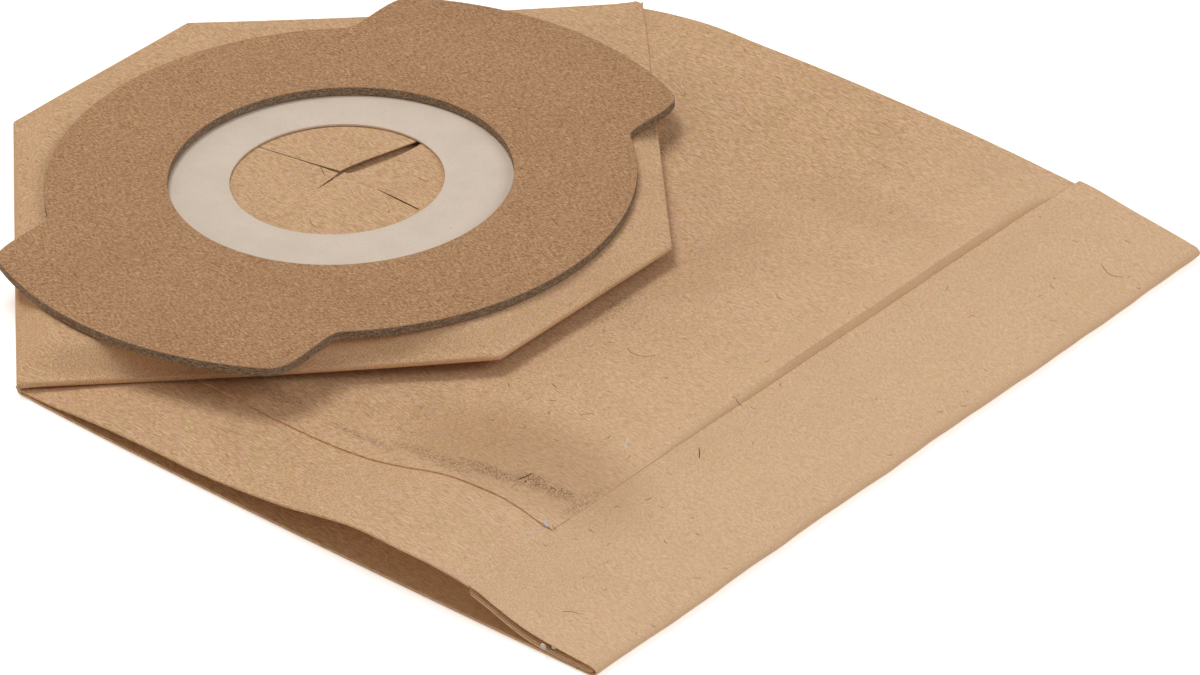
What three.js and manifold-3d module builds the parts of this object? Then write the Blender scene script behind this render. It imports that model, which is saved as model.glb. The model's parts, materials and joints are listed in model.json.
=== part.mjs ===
// Vacuum dust bag: a folded kraft paper bag with a pasted block bottom, a seal ring and a collar plate.
import * as THREE from 'three';
import { mergeVertices } from 'three/addons/utils/BufferGeometryUtils.js';
import Module from 'manifold-3d';

const wasm = await Module();
wasm.setup();

// Sizes in millimetres. X runs along the bag to its closed end, Y across it, Z up.
// The cross fold, where the front wall turns back to form the block, lies at X = 0.
const paper = 0.4; // the bag's wall, two plies of paper
const tubeWidth = 227;
const bodyLength = 179; // from the cross fold to the closed end's fold
const endShift = 10.5; // the closed end lies this far to the far side
const endBend = 1.4; // the tube's edges run a little curved to it
const flapLength = 37; // the closed end, folded back over the front wall
const flapThickness = 1.7;
const pressedThickness = 1; // thickness of the flap's pasted edge
const flapBulge = 0.9; // how much thicker the flap is where its gussets gape
const flapGap = 0.15; // air between the flap and the front wall
const glueBand = 8; // strip along the flap's edge where the tube is pasted shut
const gussetDepth = 22;
const gussetStart = 9; // distance from the cross fold at which a gusset opens
const gussetEnd = 17; // distance from the closed end at which it has closed
const gapeBend = 1.3; // how quickly a gusset's gape narrows inwards
const gapeEnd = 0.03; // half of its gape at its inner fold
const lipPaper = 4 * paper; // paper in the two folded lips of a gusset
const flapGape = { start: 4, end: 8 }; // the flap's gussets gape between these distances from its ends
const bodyInset = 3; // the bag's hollow ends this far inside its side edges
const flapInset = 12;
const seamPlace = 28; // the tube's lap seam, from its near edge
const seamLap = 12;
const seamStep = 0.25;
const seamEdge = 0.4; // width of the seam's step
const ridgeHeight = 1.3; // the front wall swells before the flap presses on it
const ridgePlace = 5; // from the flap's edge to the middle of this swelling
const ridgeWidth = 3;
const ridgeFade = { from: 15, to: 115 }; // it grows over this stretch across the bag
const foldRoll = 0.7; // radius of the folded edges of the block's front half
const backRoll = 1.9; // radius of those of its back half
const blockInset = 1.2; // the block's hollow ends this far inside its folded edges
const blockTipInset = 10; // and this far inside its tips
const endRoll = 3; // reach of the closed end's rounded fold
const endLeast = 0.1; // least half height of that fold's hollow
const foldTuck = 1; // the front wall runs on this far past the cross fold
const foldStep = 0.3; // the back wall shows through the cross fold over this width
const pocketSink = 0.1; // the block's lower face starts this far inside the front wall
const hollowLeast = 0.3; // least height of the block's hollow
const roundLeast = 0.1; // least flat half height left between two rounded edges
const reliefReach = 3; // what cuts a gusset stands out this far past the bag's edge

// The block bottom, a hexagon that is pasted shut.
const blockDepth = 85.5; // from the cross fold to its front edge and to its back edge
const blockSide = 63; // straight stretch between two corner folds
const blockDrop = 2.1; // the block's middle lies this far to the near side
const blockEdge = 1.6; // thickness of its front half along the folds
const tipReach = 1.2; // the two tips stand out past the tube's edges
const tipDepth = 0.4; // half of a tip's blunt end
const tipNear = 4.5; // heights of the tips
const tipFar = 6;
const edgeFront = 10; // height of the front edge
const edgeBack = 3.8; // height of the back edge
const edgeSag = 0.8;
const droopWidth = 20; // the paper droops to its edges over this width
const padStart = 9; // round the ring the paper stands up to the plate,
const padEnd = 16; // between these distances from the ring's edge

// The seal ring and the collar plate lie on the block, a little tilted.
const collarPlace = { x: 3.9, y: 109.1 };
const seatHeight = 8.4;
const pitch = THREE.MathUtils.degToRad(3);
const lean = THREE.MathUtils.degToRad(1.5);
const seatGap = 0.25;
const sealThickness = 0.6;
const sealBore = 27.3;
const sealRadius = 49;
const sealShift = { x: -2.4, y: 1 }; // the ring is pasted down a little off the collar's centre
const plateThickness = 2.5;
const plateBore = 43.8;
const plateRadius = 75;
const lobeRadius = 92.3;
const lobeHalf = THREE.MathUtils.degToRad(30);
const lobeTurn = THREE.MathUtils.degToRad(3.6);
const stepTurn = THREE.MathUtils.degToRad(7.5);
const cornerTurn = THREE.MathUtils.degToRad(2.6);
const stepEnds = { low: 0.3, high: 0.7 }; // the straight stretch of a slanted step, as shares of it
const arcFacets = 12; // facets in a quarter of a circle

// The cross slit under the ring.
const slitLength = 54;
const slitWidth = 0.5;
const slitGape = 2.2;
const slitShift = { x: 0, y: 2.6 }; // its centre, from the ring's centre
const slitCut = { below: 1.5, above: 1 }; // what cuts it reaches this far from the paper's face
const slitFacets = 8;

// Heights of the front wall over the floor, at shares of the body's length.
const stations = [0, 0.06, 0.14, 0.23, 0.34, 0.47, 0.59, 0.68, 0.74, 0.8, 0.89, 1];
const crownNear = [1.6, 2.3, 3.8, 4.5, 4.8, 7.1, 10.8, 9.9, 9.1, 7.4, 2.2, 1.3];
const crownMiddle = [3.6, 3.2, 2.6, 2.5, 2.8, 4.4, 7.4, 8.0, 8.0, 7.6, 4.4, 1.5];
const crownFar = [4.3, 6.8, 9.0, 9.6, 10.2, 10.2, 9.8, 9.0, 8.2, 7.2, 3.9, 1.4];
const crownSide = 48; // width over which the side heights pass into the middle's

const kraft = new THREE.MeshStandardMaterial({ color: 0xc7a27b, roughness: 0.85, metalness: 0 });
const board = new THREE.MeshStandardMaterial({ color: 0xa9815f, roughness: 0.9, metalness: 0 });
const fleece = new THREE.MeshStandardMaterial({ color: 0xd0c0b1, roughness: 0.8, metalness: 0 });

const blockMiddle = tubeWidth / 2 - blockDrop;
const tip = { near: -tipReach, far: tubeWidth + tipReach };
const corner = { near: blockMiddle - blockSide / 2, far: blockMiddle + blockSide / 2 };
const sealSeat = sealThickness + 2 * seatGap;
const flapStart = bodyLength - flapLength;
const { lerp, smoothstep, clamp } = THREE.MathUtils;

// Turns a closed geometry into a solid that can be joined and cut.
function solidOf(geometry) {
  const bare = new THREE.BufferGeometry();
  bare.setAttribute('position', geometry.getAttribute('position').clone());
  bare.setIndex(geometry.index);
  const merged = mergeVertices(bare, 1e-5);
  return new wasm.Manifold(new wasm.Mesh({
    numProp: 3,
    vertProperties: new Float32Array(merged.getAttribute('position').array),
    triVerts: new Uint32Array(merged.index.array),
  }));
}

function geometryOf(solid) {
  const mesh = solid.getMesh();
  const geometry = new THREE.BufferGeometry();
  geometry.setAttribute('position', new THREE.BufferAttribute(new Float32Array(mesh.vertProperties), 3));
  geometry.setIndex(new THREE.BufferAttribute(new Uint32Array(mesh.triVerts), 1));
  return geometry;
}

// A closed body between a lower and an upper surface that share one grid.
// place(i, j, upper) gives a point; i grows along X and j along Y.
function slab(rows, columns, place) {
  const points = [];
  const faces = [];
  for (const upper of [false, true]) {
    for (let i = 0; i < rows; i += 1) {
      for (let j = 0; j < columns; j += 1) points.push(...place(i, j, upper));
    }
  }
  const layer = rows * columns;
  const quad = (a, b, c, d) => faces.push(a, b, c, a, c, d);
  for (let i = 0; i + 1 < rows; i += 1) {
    for (let j = 0; j + 1 < columns; j += 1) {
      const a = i * columns + j;
      const b = a + columns;
      quad(a, a + 1, b + 1, b);
      quad(layer + a, layer + b, layer + b + 1, layer + a + 1);
    }
  }
  const wall = (a, b) => quad(a, b, layer + b, layer + a);
  for (let i = 0; i + 1 < rows; i += 1) {
    wall(i * columns, (i + 1) * columns);
    wall((i + 2) * columns - 1, (i + 1) * columns - 1);
  }
  for (let j = 0; j + 1 < columns; j += 1) {
    wall(j + 1, j);
    wall((rows - 1) * columns + j, (rows - 1) * columns + j + 1);
  }
  const geometry = new THREE.BufferGeometry();
  geometry.setAttribute('position', new THREE.Float32BufferAttribute(points, 3));
  geometry.setIndex(faces);
  return solidOf(geometry);
}

// The body: heights of the front wall and the skewed place of a point.
const profiles = [crownNear, crownMiddle, crownFar].map(
  (heights) => new THREE.CubicInterpolant(stations, heights, 1),
);

function crown(profile, x) {
  return profile.evaluate(clamp(x / bodyLength, 0, 1))[0];
}

function frontWall(x, y) {
  const near = 1 - smoothstep(y, 0, crownSide);
  const far = smoothstep(y, tubeWidth - crownSide, tubeWidth);
  const heights = profiles.map((profile) => crown(profile, x));
  const plain = heights[1] + (heights[0] - heights[1]) * near + (heights[2] - heights[1]) * far;
  const seam = y > seamPlace ? 1 - smoothstep(y, seamPlace + 1, seamPlace + seamLap) : 0;
  const shown = smoothstep(x, 0, gussetStart);
  const ridge = Math.exp(-(((x - flapStart + ridgePlace) / ridgeWidth) ** 2));
  return plain + seamStep * seam * shown + ridgeHeight * ridge * smoothstep(y, ridgeFade.from, ridgeFade.to);
}

const skewed = (x, y, z) => [x, y + endShift * Math.max(0, x / bodyLength) ** endBend, z];

// The block: its outline at a place across the bag, and the heights of its two faces.
function reach(y) {
  const near = (y - tip.near) / (corner.near - tip.near);
  const far = (tip.far - y) / (tip.far - corner.far);
  return lerp(tipDepth, blockDepth, clamp(Math.min(near, far), 0, 1));
}

function edgeHeight(y, straight) {
  const near = clamp((y - tip.near) / (corner.near - tip.near), 0, 1);
  const far = clamp((tip.far - y) / (tip.far - corner.far), 0, 1);
  const sag = edgeSag * 4 * (near * (1 - near) + far * (1 - far));
  return y < blockMiddle ? lerp(tipNear, straight, near) - sag : lerp(tipFar, straight, far) - sag;
}

function seatPlane(x, y) {
  return seatHeight + (x - collarPlace.x) * Math.tan(pitch) - (y - collarPlace.y) * Math.tan(lean);
}

// Upper face of the block; inset is the distance to its folded edge.
function blockTop(x, y, inset) {
  const share = clamp(0.5 + x / (2 * reach(y)), 0, 1);
  const edge = lerp(edgeHeight(y, edgeBack), edgeHeight(y, edgeFront), share);
  const radius = Math.hypot(x - collarPlace.x, y - collarPlace.y);
  const raised = (sealSeat - seatGap) * smoothstep(radius, sealRadius + padStart, sealRadius + padEnd);
  return lerp(edge, seatPlane(x, y) + raised, smoothstep(inset, 0, droopWidth));
}

// Lower face of the block's front half, which hovers over the body.
function pocketFloor(x, y) {
  const share = clamp(x / reach(y), 0, 1);
  return lerp(frontWall(0, y) - pocketSink, edgeHeight(y, edgeFront) - blockEdge, share);
}

function rolled(distance, radius) {
  const inside = clamp(radius - distance, 0, radius);
  return radius - Math.sqrt(radius * radius - inside * inside);
}

// Ends a list of grid stations at both ends, and drops those that lie outside or too close.
const stationGap = 0.25;

function trimmed(list, from, to) {
  return [from, ...list.filter((value) => value > from + stationGap && value < to - stationGap), to];
}

// The shells and hollows share their grids' stations, so that the wall keeps its thickness.
const foldSlope = Math.SQRT1_2;
const edgeShares = [1, 0.994]; // stations along the block's folded edges, as shares of its depth
const shares = [0.98, 0.93, 0.84, 0.72, 0.56, 0.38, 0.19];
const foldShare = 0.012; // station just behind the cross fold
const blockSides = [0.02, 0.06, 0.14, 0.25, 0.38, 0.53, 0.69, 0.85];
const blockRows = [
  ...blockSides.map((share) => lerp(tip.near, corner.near, share)),
  corner.near,
  ...[0.25, 0.5, 0.75].map((share) => lerp(corner.near, corner.far, share)),
  corner.far,
  ...blockSides.map((share) => lerp(tip.far, corner.far, share)).reverse(),
];

function blockOuter() {
  const rows = trimmed(blockRows, tip.near, tip.far);
  const outside = [...edgeShares, ...shares];
  const columns = [...outside.map((share) => -share), -foldShare, 0, ...[...outside].reverse()];
  return slab(columns.length, rows.length, (i, j, upper) => {
    const y = rows[j];
    const front = columns[i] > 0;
    const half = reach(y);
    const x = columns[i] * half;
    const inset = (1 - Math.abs(columns[i])) * half * foldSlope;
    const floor = columns[i] >= 0 ? pocketFloor(x, y) : 0;
    const top = blockTop(x, y, inset);
    const round = rolled(inset, Math.min(front ? foldRoll : backRoll, (top - floor) / 2 - roundLeast));
    return [x, y, upper ? top - round : floor + round];
  });
}

// The hollow inside the block; at the cross fold its floor drops to the back wall.
function blockHollow() {
  const drop = -paper - foldStep;
  const rows = trimmed(blockRows, tip.near + blockTipInset, tip.far - blockTipInset);
  const columns = [-1, ...shares.map((share) => -share), drop, -paper, ...[...shares].reverse(), 1];
  return slab(columns.length, rows.length, (i, j, upper) => {
    const y = rows[j];
    const front = i > columns.length / 2 - 1;
    const half = reach(y);
    const atFold = columns[i] === drop || columns[i] === -paper;
    const ends = half - blockInset;
    const x = atFold ? columns[i] : clamp(columns[i] * half, -ends, ends);
    const inset = (half - Math.abs(x)) * foldSlope;
    const floor = (front || columns[i] === -paper ? pocketFloor(x, y) : 0) + paper;
    const height = Math.max(blockTop(x, y, inset) - paper - floor, hollowLeast);
    const radius = Math.max((front ? foldRoll : backRoll) - paper, roundLeast);
    const pinch = Math.min(rolled(inset - blockInset * foldSlope, radius), height / 2 - roundLeast);
    return [x, y, upper ? floor + height - pinch : floor + pinch];
  });
}

const span = (from, to, steps) => Array.from({ length: steps + 1 }, (_, k) => lerp(from, to, k / steps));

const tubeRows = [
  ...span(0, seamPlace, 4),
  seamPlace + seamEdge,
  ...span(seamPlace + seamLap, tubeWidth - crownSide, 5),
  ...span(tubeWidth - crownSide, tubeWidth, 4).slice(1),
];
const flapColumns = span(flapStart, bodyLength, 8);
const ridgeStart = flapStart - 2 * ridgePlace;
const bodyColumns = [
  ...span(gussetStart, ridgeStart, 8),
  ...span(ridgeStart, flapStart, 4).slice(1, -1),
  ...flapColumns,
];

function bodySlab(from, to, inset, wall) {
  const columns = trimmed(bodyColumns, from, to);
  const rows = trimmed(tubeRows, inset, tubeWidth - inset);
  return slab(columns.length, rows.length, (i, j, upper) => {
    const x = columns[i];
    const y = rows[j];
    return skewed(x, y, upper ? frontWall(x, y) - wall : wall);
  });
}

// The flap's thickness over the front wall: its gussets gape a little near both sides.
function flapBody(x, y) {
  const side = 1 - smoothstep(Math.min(y, tubeWidth - y), 0, gussetDepth);
  const along = Math.sin(Math.PI * clamp((x - flapStart) / flapLength, 0, 1));
  const pressed = lerp(pressedThickness, flapThickness, smoothstep(x, flapStart, flapStart + glueBand));
  return pressed + flapBulge * side * along;
}

function flapSlab(from, to, inset, wall) {
  const columns = trimmed(flapColumns, from, to);
  const rows = trimmed(tubeRows, inset, tubeWidth - inset);
  return slab(columns.length, rows.length, (i, j, upper) => {
    const x = columns[i];
    const y = rows[j];
    const floor = frontWall(x, y) + flapGap;
    return skewed(x, y, upper ? floor + flapBody(x, y) - wall : floor + wall);
  });
}

// The rounded fold at the closed end, which joins the body to the flap.
const foldSteps = 4;
const blunt = 0.02; // keeps the fold's last edge from closing to nothing

function endFold(from, to, inset, wall) {
  const columns = span(from, to, foldSteps);
  const rows = trimmed(tubeRows, inset, tubeWidth - inset);
  return slab(columns.length, rows.length, (i, j, upper) => {
    const x = columns[i];
    const y = rows[j];
    const height = frontWall(bodyLength - endRoll, y) + flapGap + flapThickness;
    const share = clamp((bodyLength - x) / endRoll, 0, 1);
    const half = (height / 2) * Math.sqrt(Math.max(blunt, 1 - (1 - share) ** 2));
    const shell = Math.max(half - wall, endLeast);
    return skewed(x, y, height / 2 + (upper ? shell : -shell));
  });
}

// A side recess between two folded lips; side is 0 at the near edge and 1 at the far one.
function recess(side, columns, floorAt, heightAt, depth, grow) {
  const steps = [-reliefReach / depth, 0, 0.35, 0.7, 1];
  return slab(columns.length, steps.length, (i, j, upper) => {
    const x = columns[i];
    const step = steps[side === 0 ? j : steps.length - 1 - j];
    const edge = side === 0 ? 0 : tubeWidth;
    const inward = side === 0 ? 1 : -1;
    const deep = step * (depth + 2 * grow);
    const gape = Math.max(heightAt(x, edge) - lipPaper, gapeEnd);
    const open = (gape / 2) * (1 - Math.max(0, step) ** gapeBend) + grow + gapeEnd;
    const middle = floorAt(x, edge) + heightAt(x, edge) / 2;
    return skewed(x, edge + inward * deep, middle + (upper ? open : -open));
  });
}

function bodyRecess(side, grow) {
  const columns = span(gussetStart - grow, bodyLength - gussetEnd + grow, 13);
  const height = (x, edge) => lerp(lipPaper, frontWall(x, edge), smoothstep(x, 0, 2 * gussetStart));
  return recess(side, columns, () => 0, height, gussetDepth, grow);
}

function flapRecess(side, grow) {
  const columns = span(flapStart + flapGape.start, bodyLength - flapGape.end, 5);
  const floor = (x, edge) => frontWall(x, edge) + flapGap;
  return recess(side, columns, floor, flapBody, gussetDepth / 2, grow);
}

// One arm of the cross slit, a lens or a plain cut through the block's upper wall.
function slit(turn, width) {
  const half = slitLength / 2;
  const outline = new THREE.Shape();
  outline.moveTo(-half, 0);
  outline.quadraticCurveTo(0, -width, half, 0);
  outline.quadraticCurveTo(0, width, -half, 0);
  const depth = slitCut.below + slitCut.above;
  const cut = new THREE.ExtrudeGeometry(outline, { depth, bevelEnabled: false, curveSegments: slitFacets });
  cut.rotateZ(turn);
  const x = collarPlace.x + sealShift.x + slitShift.x;
  const y = collarPlace.y + sealShift.y + slitShift.y;
  cut.translate(x, y, seatPlane(x, y) - slitCut.below);
  return solidOf(cut);
}

function paperBag() {
  let outer = blockOuter()
    .add(bodySlab(-foldTuck, bodyLength - endRoll / 2, 0, 0))
    .add(flapSlab(flapStart, bodyLength - endRoll / 2, 0, 0))
    .add(endFold(bodyLength - endRoll, bodyLength, 0, 0));
  const noseEnd = bodyLength - endRoll + paper;
  let hollow = bodySlab(-foldTuck - paper, noseEnd + paper, bodyInset, paper)
    .add(endFold(noseEnd, bodyLength - paper, flapInset, paper))
    .add(flapSlab(flapStart + glueBand, noseEnd + paper, flapInset, paper));
  for (const side of [0, 1]) {
    outer = outer.subtract(bodyRecess(side, 0)).subtract(flapRecess(side, 0));
    hollow = hollow.subtract(bodyRecess(side, paper)).subtract(flapRecess(side, paper));
  }
  hollow = hollow.add(blockHollow());
  return outer.subtract(hollow).subtract(slit(0, slitWidth)).subtract(slit(Math.PI / 2, slitGape));
}

// A full circle, drawn as four quarter arcs.
function round(path, radius) {
  for (const quarter of [0, 1, 2, 3]) {
    path.absarc(0, 0, radius, (quarter * Math.PI) / 2, ((quarter + 1) * Math.PI) / 2, false);
  }
  return path;
}

// A punched plate lies flat on local Z = 0.
function punched(outline, bore, thickness) {
  outline.holes.push(round(new THREE.Path(), bore));
  const settings = { depth: thickness, bevelEnabled: false, curveSegments: arcFacets };
  return new THREE.ExtrudeGeometry(outline, settings);
}

// The collar plate's edge: two arcs and two wider lobes, with slanted steps between them.
function plateOutline() {
  const outline = new THREE.Shape();
  const at = (radius, angle) => [radius * Math.cos(angle), radius * Math.sin(angle)];
  for (const side of [0, 1]) {
    const middle = Math.PI * (side - 0.5) + lobeTurn;
    const lobeEnd = middle + lobeHalf;
    const arcStart = lobeEnd + stepTurn;
    const arcEnd = middle + Math.PI - lobeHalf - stepTurn;
    const onStep = (share) => at(lerp(lobeRadius, plateRadius, share), lobeEnd + stepTurn * share);
    const upStep = (share) => at(lerp(plateRadius, lobeRadius, share), arcEnd + stepTurn * share);
    outline.absarc(0, 0, lobeRadius, middle - lobeHalf + cornerTurn, lobeEnd - cornerTurn, false);
    outline.quadraticCurveTo(...at(lobeRadius, lobeEnd), ...onStep(stepEnds.low));
    outline.lineTo(...onStep(stepEnds.high));
    outline.quadraticCurveTo(...at(plateRadius, arcStart), ...at(plateRadius, arcStart + cornerTurn));
    outline.absarc(0, 0, plateRadius, arcStart + cornerTurn, arcEnd - cornerTurn, false);
    outline.quadraticCurveTo(...at(plateRadius, arcEnd), ...upStep(stepEnds.low));
    outline.lineTo(...upStep(stepEnds.high));
    const next = [...at(lobeRadius, arcEnd + stepTurn), ...at(lobeRadius, arcEnd + stepTurn + cornerTurn)];
    outline.quadraticCurveTo(...next);
  }
  return outline;
}

function named(name, geometry, material) {
  const mesh = new THREE.Mesh(geometry, material);
  mesh.name = name;
  return mesh;
}

const bag = named('paper_bag', geometryOf(paperBag()), kraft);

const ringOutline = round(new THREE.Shape(), sealRadius);
const sealRing = named('seal_ring', punched(ringOutline, sealBore, sealThickness), fleece);
sealRing.position.set(sealShift.x, sealShift.y, seatGap);

const collarPlate = named('collar_plate', punched(plateOutline(), plateBore, plateThickness), board);
collarPlate.position.z = sealSeat;

const collar = new THREE.Group();
collar.add(sealRing, collarPlate);
collar.position.set(collarPlace.x, collarPlace.y, seatHeight);
collar.rotation.set(-lean, -pitch, 0);

const dustBag = new THREE.Group();
dustBag.add(bag, collar);

// The origin goes to the middle of the bag's footprint.
dustBag.updateMatrixWorld(true);
const bounds = new THREE.Box3().setFromObject(dustBag, true);
const centre = bounds.getCenter(new THREE.Vector3());
dustBag.position.set(-centre.x, -centre.y, -bounds.min.z);

export default dustBag;
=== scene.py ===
import json
import math

import bmesh
import bpy
import numpy as np
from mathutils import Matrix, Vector, noise
from mathutils.bvhtree import BVHTree

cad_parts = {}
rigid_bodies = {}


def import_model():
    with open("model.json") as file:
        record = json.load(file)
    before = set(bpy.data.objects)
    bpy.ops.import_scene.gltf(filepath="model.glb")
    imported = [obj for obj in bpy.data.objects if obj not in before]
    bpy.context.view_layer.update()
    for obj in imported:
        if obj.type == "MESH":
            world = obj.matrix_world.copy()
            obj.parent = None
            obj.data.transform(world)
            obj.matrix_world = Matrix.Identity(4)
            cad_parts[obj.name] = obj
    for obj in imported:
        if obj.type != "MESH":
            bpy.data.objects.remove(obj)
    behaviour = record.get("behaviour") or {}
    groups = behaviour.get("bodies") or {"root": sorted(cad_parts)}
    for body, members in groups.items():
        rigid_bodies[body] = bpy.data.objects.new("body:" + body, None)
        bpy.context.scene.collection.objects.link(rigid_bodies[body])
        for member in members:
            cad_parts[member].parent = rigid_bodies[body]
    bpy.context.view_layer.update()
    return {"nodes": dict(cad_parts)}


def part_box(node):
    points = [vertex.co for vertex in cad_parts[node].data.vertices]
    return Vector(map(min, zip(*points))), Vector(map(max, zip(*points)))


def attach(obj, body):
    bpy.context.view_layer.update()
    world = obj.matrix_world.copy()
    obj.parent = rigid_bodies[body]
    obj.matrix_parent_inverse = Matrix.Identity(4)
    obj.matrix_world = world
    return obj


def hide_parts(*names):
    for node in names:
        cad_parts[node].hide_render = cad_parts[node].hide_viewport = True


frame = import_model()
print("frame: loaded", len(frame["nodes"]), "nodes")

for old in list(bpy.data.objects):
    if old.type in {"LIGHT", "CAMERA"}:
        bpy.data.objects.remove(old)


class Wire:  # a node's socket that takes part in plain arithmetic
    def __init__(self, tree, socket):
        self.tree = tree
        self.socket = socket

    @staticmethod
    def add(tree, kind, settings=None, inputs=None, output=0):
        made = tree.nodes.new(kind)
        for name, value in (settings or {}).items():
            setattr(made, name, value)
        for name, value in (inputs or {}).items():
            if isinstance(value, Wire):
                tree.links.new(value.socket, made.inputs[name])
            else:
                made.inputs[name].default_value = value
        return Wire(tree, made.outputs[output])

    def into(self, kind, name="Surface"):  # the tree's output
        self.tree.links.new(self.socket, self.tree.nodes.new(kind).inputs[name])

    def maths(self, operation, *values):
        return Wire.add(self.tree, "ShaderNodeMath", {"operation": operation}, dict(enumerate(values)))

    def __add__(self, other):
        return self.maths("ADD", self, other)

    def __radd__(self, other):
        return self.maths("ADD", other, self)

    def __sub__(self, other):
        return self.maths("SUBTRACT", self, other)

    def __rsub__(self, other):
        return self.maths("SUBTRACT", other, self)

    def __mul__(self, other):
        return self.maths("MULTIPLY", self, other)

    def __rmul__(self, other):
        return self.maths("MULTIPLY", other, self)

    def __truediv__(self, other):
        return self.maths("DIVIDE", self, other)

    def step(self, low, high):  # 0 below low, 1 above high, smooth between
        inputs = {0: self, 1: low, 2: high, 3: 0.0, 4: 1.0}
        return Wire.add(self.tree, "ShaderNodeMapRange", {"interpolation_type": "SMOOTHSTEP"}, inputs)


def colour(red, green, blue):  # screen values 0 to 255 as a linear colour
    parts = [v / 255 for v in (red, green, blue)]
    return (*[p / 12.92 if p <= 0.04045 else ((p + 0.055) / 1.055) ** 2.4 for p in parts], 1.0)


def asObject(name, mesh):
    made = bpy.data.objects.new(name, mesh)
    bpy.context.collection.objects.link(made)
    return made


def settled(made, name):  # the object with its modifiers worked into a plain mesh
    ready = made.evaluated_get(bpy.context.evaluated_depsgraph_get())
    mesh = bpy.data.meshes.new_from_object(ready)
    mesh.name = name
    bpy.data.objects.remove(made)
    return asObject(name, mesh)


def finishPiece(made, node=None):
    if node:
        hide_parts(node)
    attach(made, "root")


view = {
    "target": (0.04225, -0.00615, 0.0),
    "azimuth": 41.77,
    "elevation": 35.29,
    "distance": 1.6043,
    "lens": 195.0,
    "sensor": 36.0,
}


def makeCamera():
    data = bpy.data.cameras.new("camera")
    data.lens = view["lens"]
    data.sensor_width = view["sensor"]
    data.clip_start = 0.05
    data.clip_end = 20.0
    camera = asObject("camera", data)
    az, el = math.radians(view["azimuth"]), math.radians(view["elevation"])
    back = Vector((math.sin(az) * math.cos(el), -math.cos(az) * math.cos(el), math.sin(el)))
    camera.location = Vector(view["target"]) + back * view["distance"]
    camera.rotation_mode = "QUATERNION"
    camera.rotation_quaternion = (-back).to_track_quat("-Z", "Y")
    bpy.context.scene.camera = camera


studio = {
    "skyStrength": 0.3,
    "skyColour": (1.0, 0.94, 0.86, 1.0),
    "lampColour": (0.95, 0.97, 1.0),
    "lowColour": (1.0, 0.82, 0.6),
    "keyPower": 9.8,
    "keySize": 0.6,
    "keyPlace": (-0.56, 0.06, 1.45),
    "fillPower": 7.8,
    "fillSize": 0.9,
    "fillPlace": (1.2, 0.2, 1.1),
    "lowPower": 3.2,
    "lowSize": 0.6,
    "lowPlace": (-1.0, -1.0, 0.32),
    "floorHalf": 6.0,
    "floorDrop": 0.0002,
    "floorColour": (0.93, 0.88, 0.81, 1.0),
    "floorGlow": 0.55,
}


def makeLight(name, power, size, place, tone):
    data = bpy.data.lights.new(name, "AREA")
    data.color = tone
    data.energy = power
    data.size = size
    lamp = asObject(name, data)
    lamp.location = place
    lamp.rotation_mode = "QUATERNION"
    lamp.rotation_quaternion = (-Vector(place)).to_track_quat("-Z", "Y")


def makeStudio():
    scene = bpy.context.scene
    scene.view_settings.view_transform = "Standard"
    world = bpy.data.worlds.new("studio")
    scene.world = world
    world.use_nodes = True
    tree = world.node_tree
    tree.nodes.clear()
    rays = [
        Wire.add(tree, "ShaderNodeLightPath", output=name)
        for name in ("Is Camera Ray", "Is Glossy Ray", "Is Transmission Ray")
    ]
    direct = (rays[0] + rays[1] + rays[2]).step(0.0, 1.0)
    strength = direct * (1.0 - studio["skyStrength"]) + studio["skyStrength"]
    tone = mixed(tree, direct, studio["skyColour"], (1, 1, 1, 1))
    shade = Wire.add(tree, "ShaderNodeBackground", None, {"Color": tone, "Strength": strength})
    shade.into("ShaderNodeOutputWorld")
    for name, tone in (("key", "lampColour"), ("fill", "lampColour"), ("low", "lowColour")):
        power, size, place = (studio[name + part] for part in ("Power", "Size", "Place"))
        makeLight(name + "Light", power, size, place, studio[tone])


def makeFloor():
    half = studio["floorHalf"]
    mesh = bpy.data.meshes.new("floor")
    square = [(-half, -half, 0), (half, -half, 0), (half, half, 0), (-half, half, 0)]
    mesh.from_pydata(square, [], [(0, 1, 2, 3)])
    floor = asObject("floor", mesh)
    floor.location.z = -studio["floorDrop"]
    made, tree = material("floorPaper")
    diffuse = Wire.add(tree, "ShaderNodeBsdfDiffuse", None, {"Color": studio["floorColour"]})
    glowing = {"Color": (1, 1, 1, 1), "Strength": studio["floorGlow"]}
    glow = Wire.add(tree, "ShaderNodeEmission", None, glowing)
    seen = Wire.add(tree, "ShaderNodeLightPath", output="Is Camera Ray")
    both = Wire.add(tree, "ShaderNodeAddShader", None, {0: diffuse, 1: glow})
    shown = Wire.add(tree, "ShaderNodeMixShader", None, {0: seen, 1: diffuse, 2: both})
    shown.into("ShaderNodeOutputMaterial")
    mesh.materials.append(made)


# Materials. Patterns are sized in millimetres and read Object coordinates.
def material(name):
    made = bpy.data.materials.new(name)
    made.use_nodes = True
    made.node_tree.nodes.clear()
    return made, made.node_tree


def mixed(tree, share, first, second):
    inputs = {0: share, 6: first, 7: second}
    return Wire.add(tree, "ShaderNodeMix", {"data_type": "RGBA"}, inputs, 2)


def swirled(tree, place, size, amount, seed):  # the place pushed about, so that drawn-out patterns curve
    moved = Wire.add(tree, "ShaderNodeMapping", None, {
        "Vector": place, "Location": (seed, seed, 0), "Scale": (1000 / size,) * 3,
    })
    inputs = {"Vector": moved, "Scale": 1.0, "Detail": 1.0}
    push = Wire.add(tree, "ShaderNodeTexNoise", None, inputs, "Color")
    scaled = {0: push, 1: (amount * 0.001,) * 3, 2: place}
    return Wire.add(tree, "ShaderNodeVectorMath", {"operation": "MULTIPLY_ADD"}, scaled)


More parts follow.
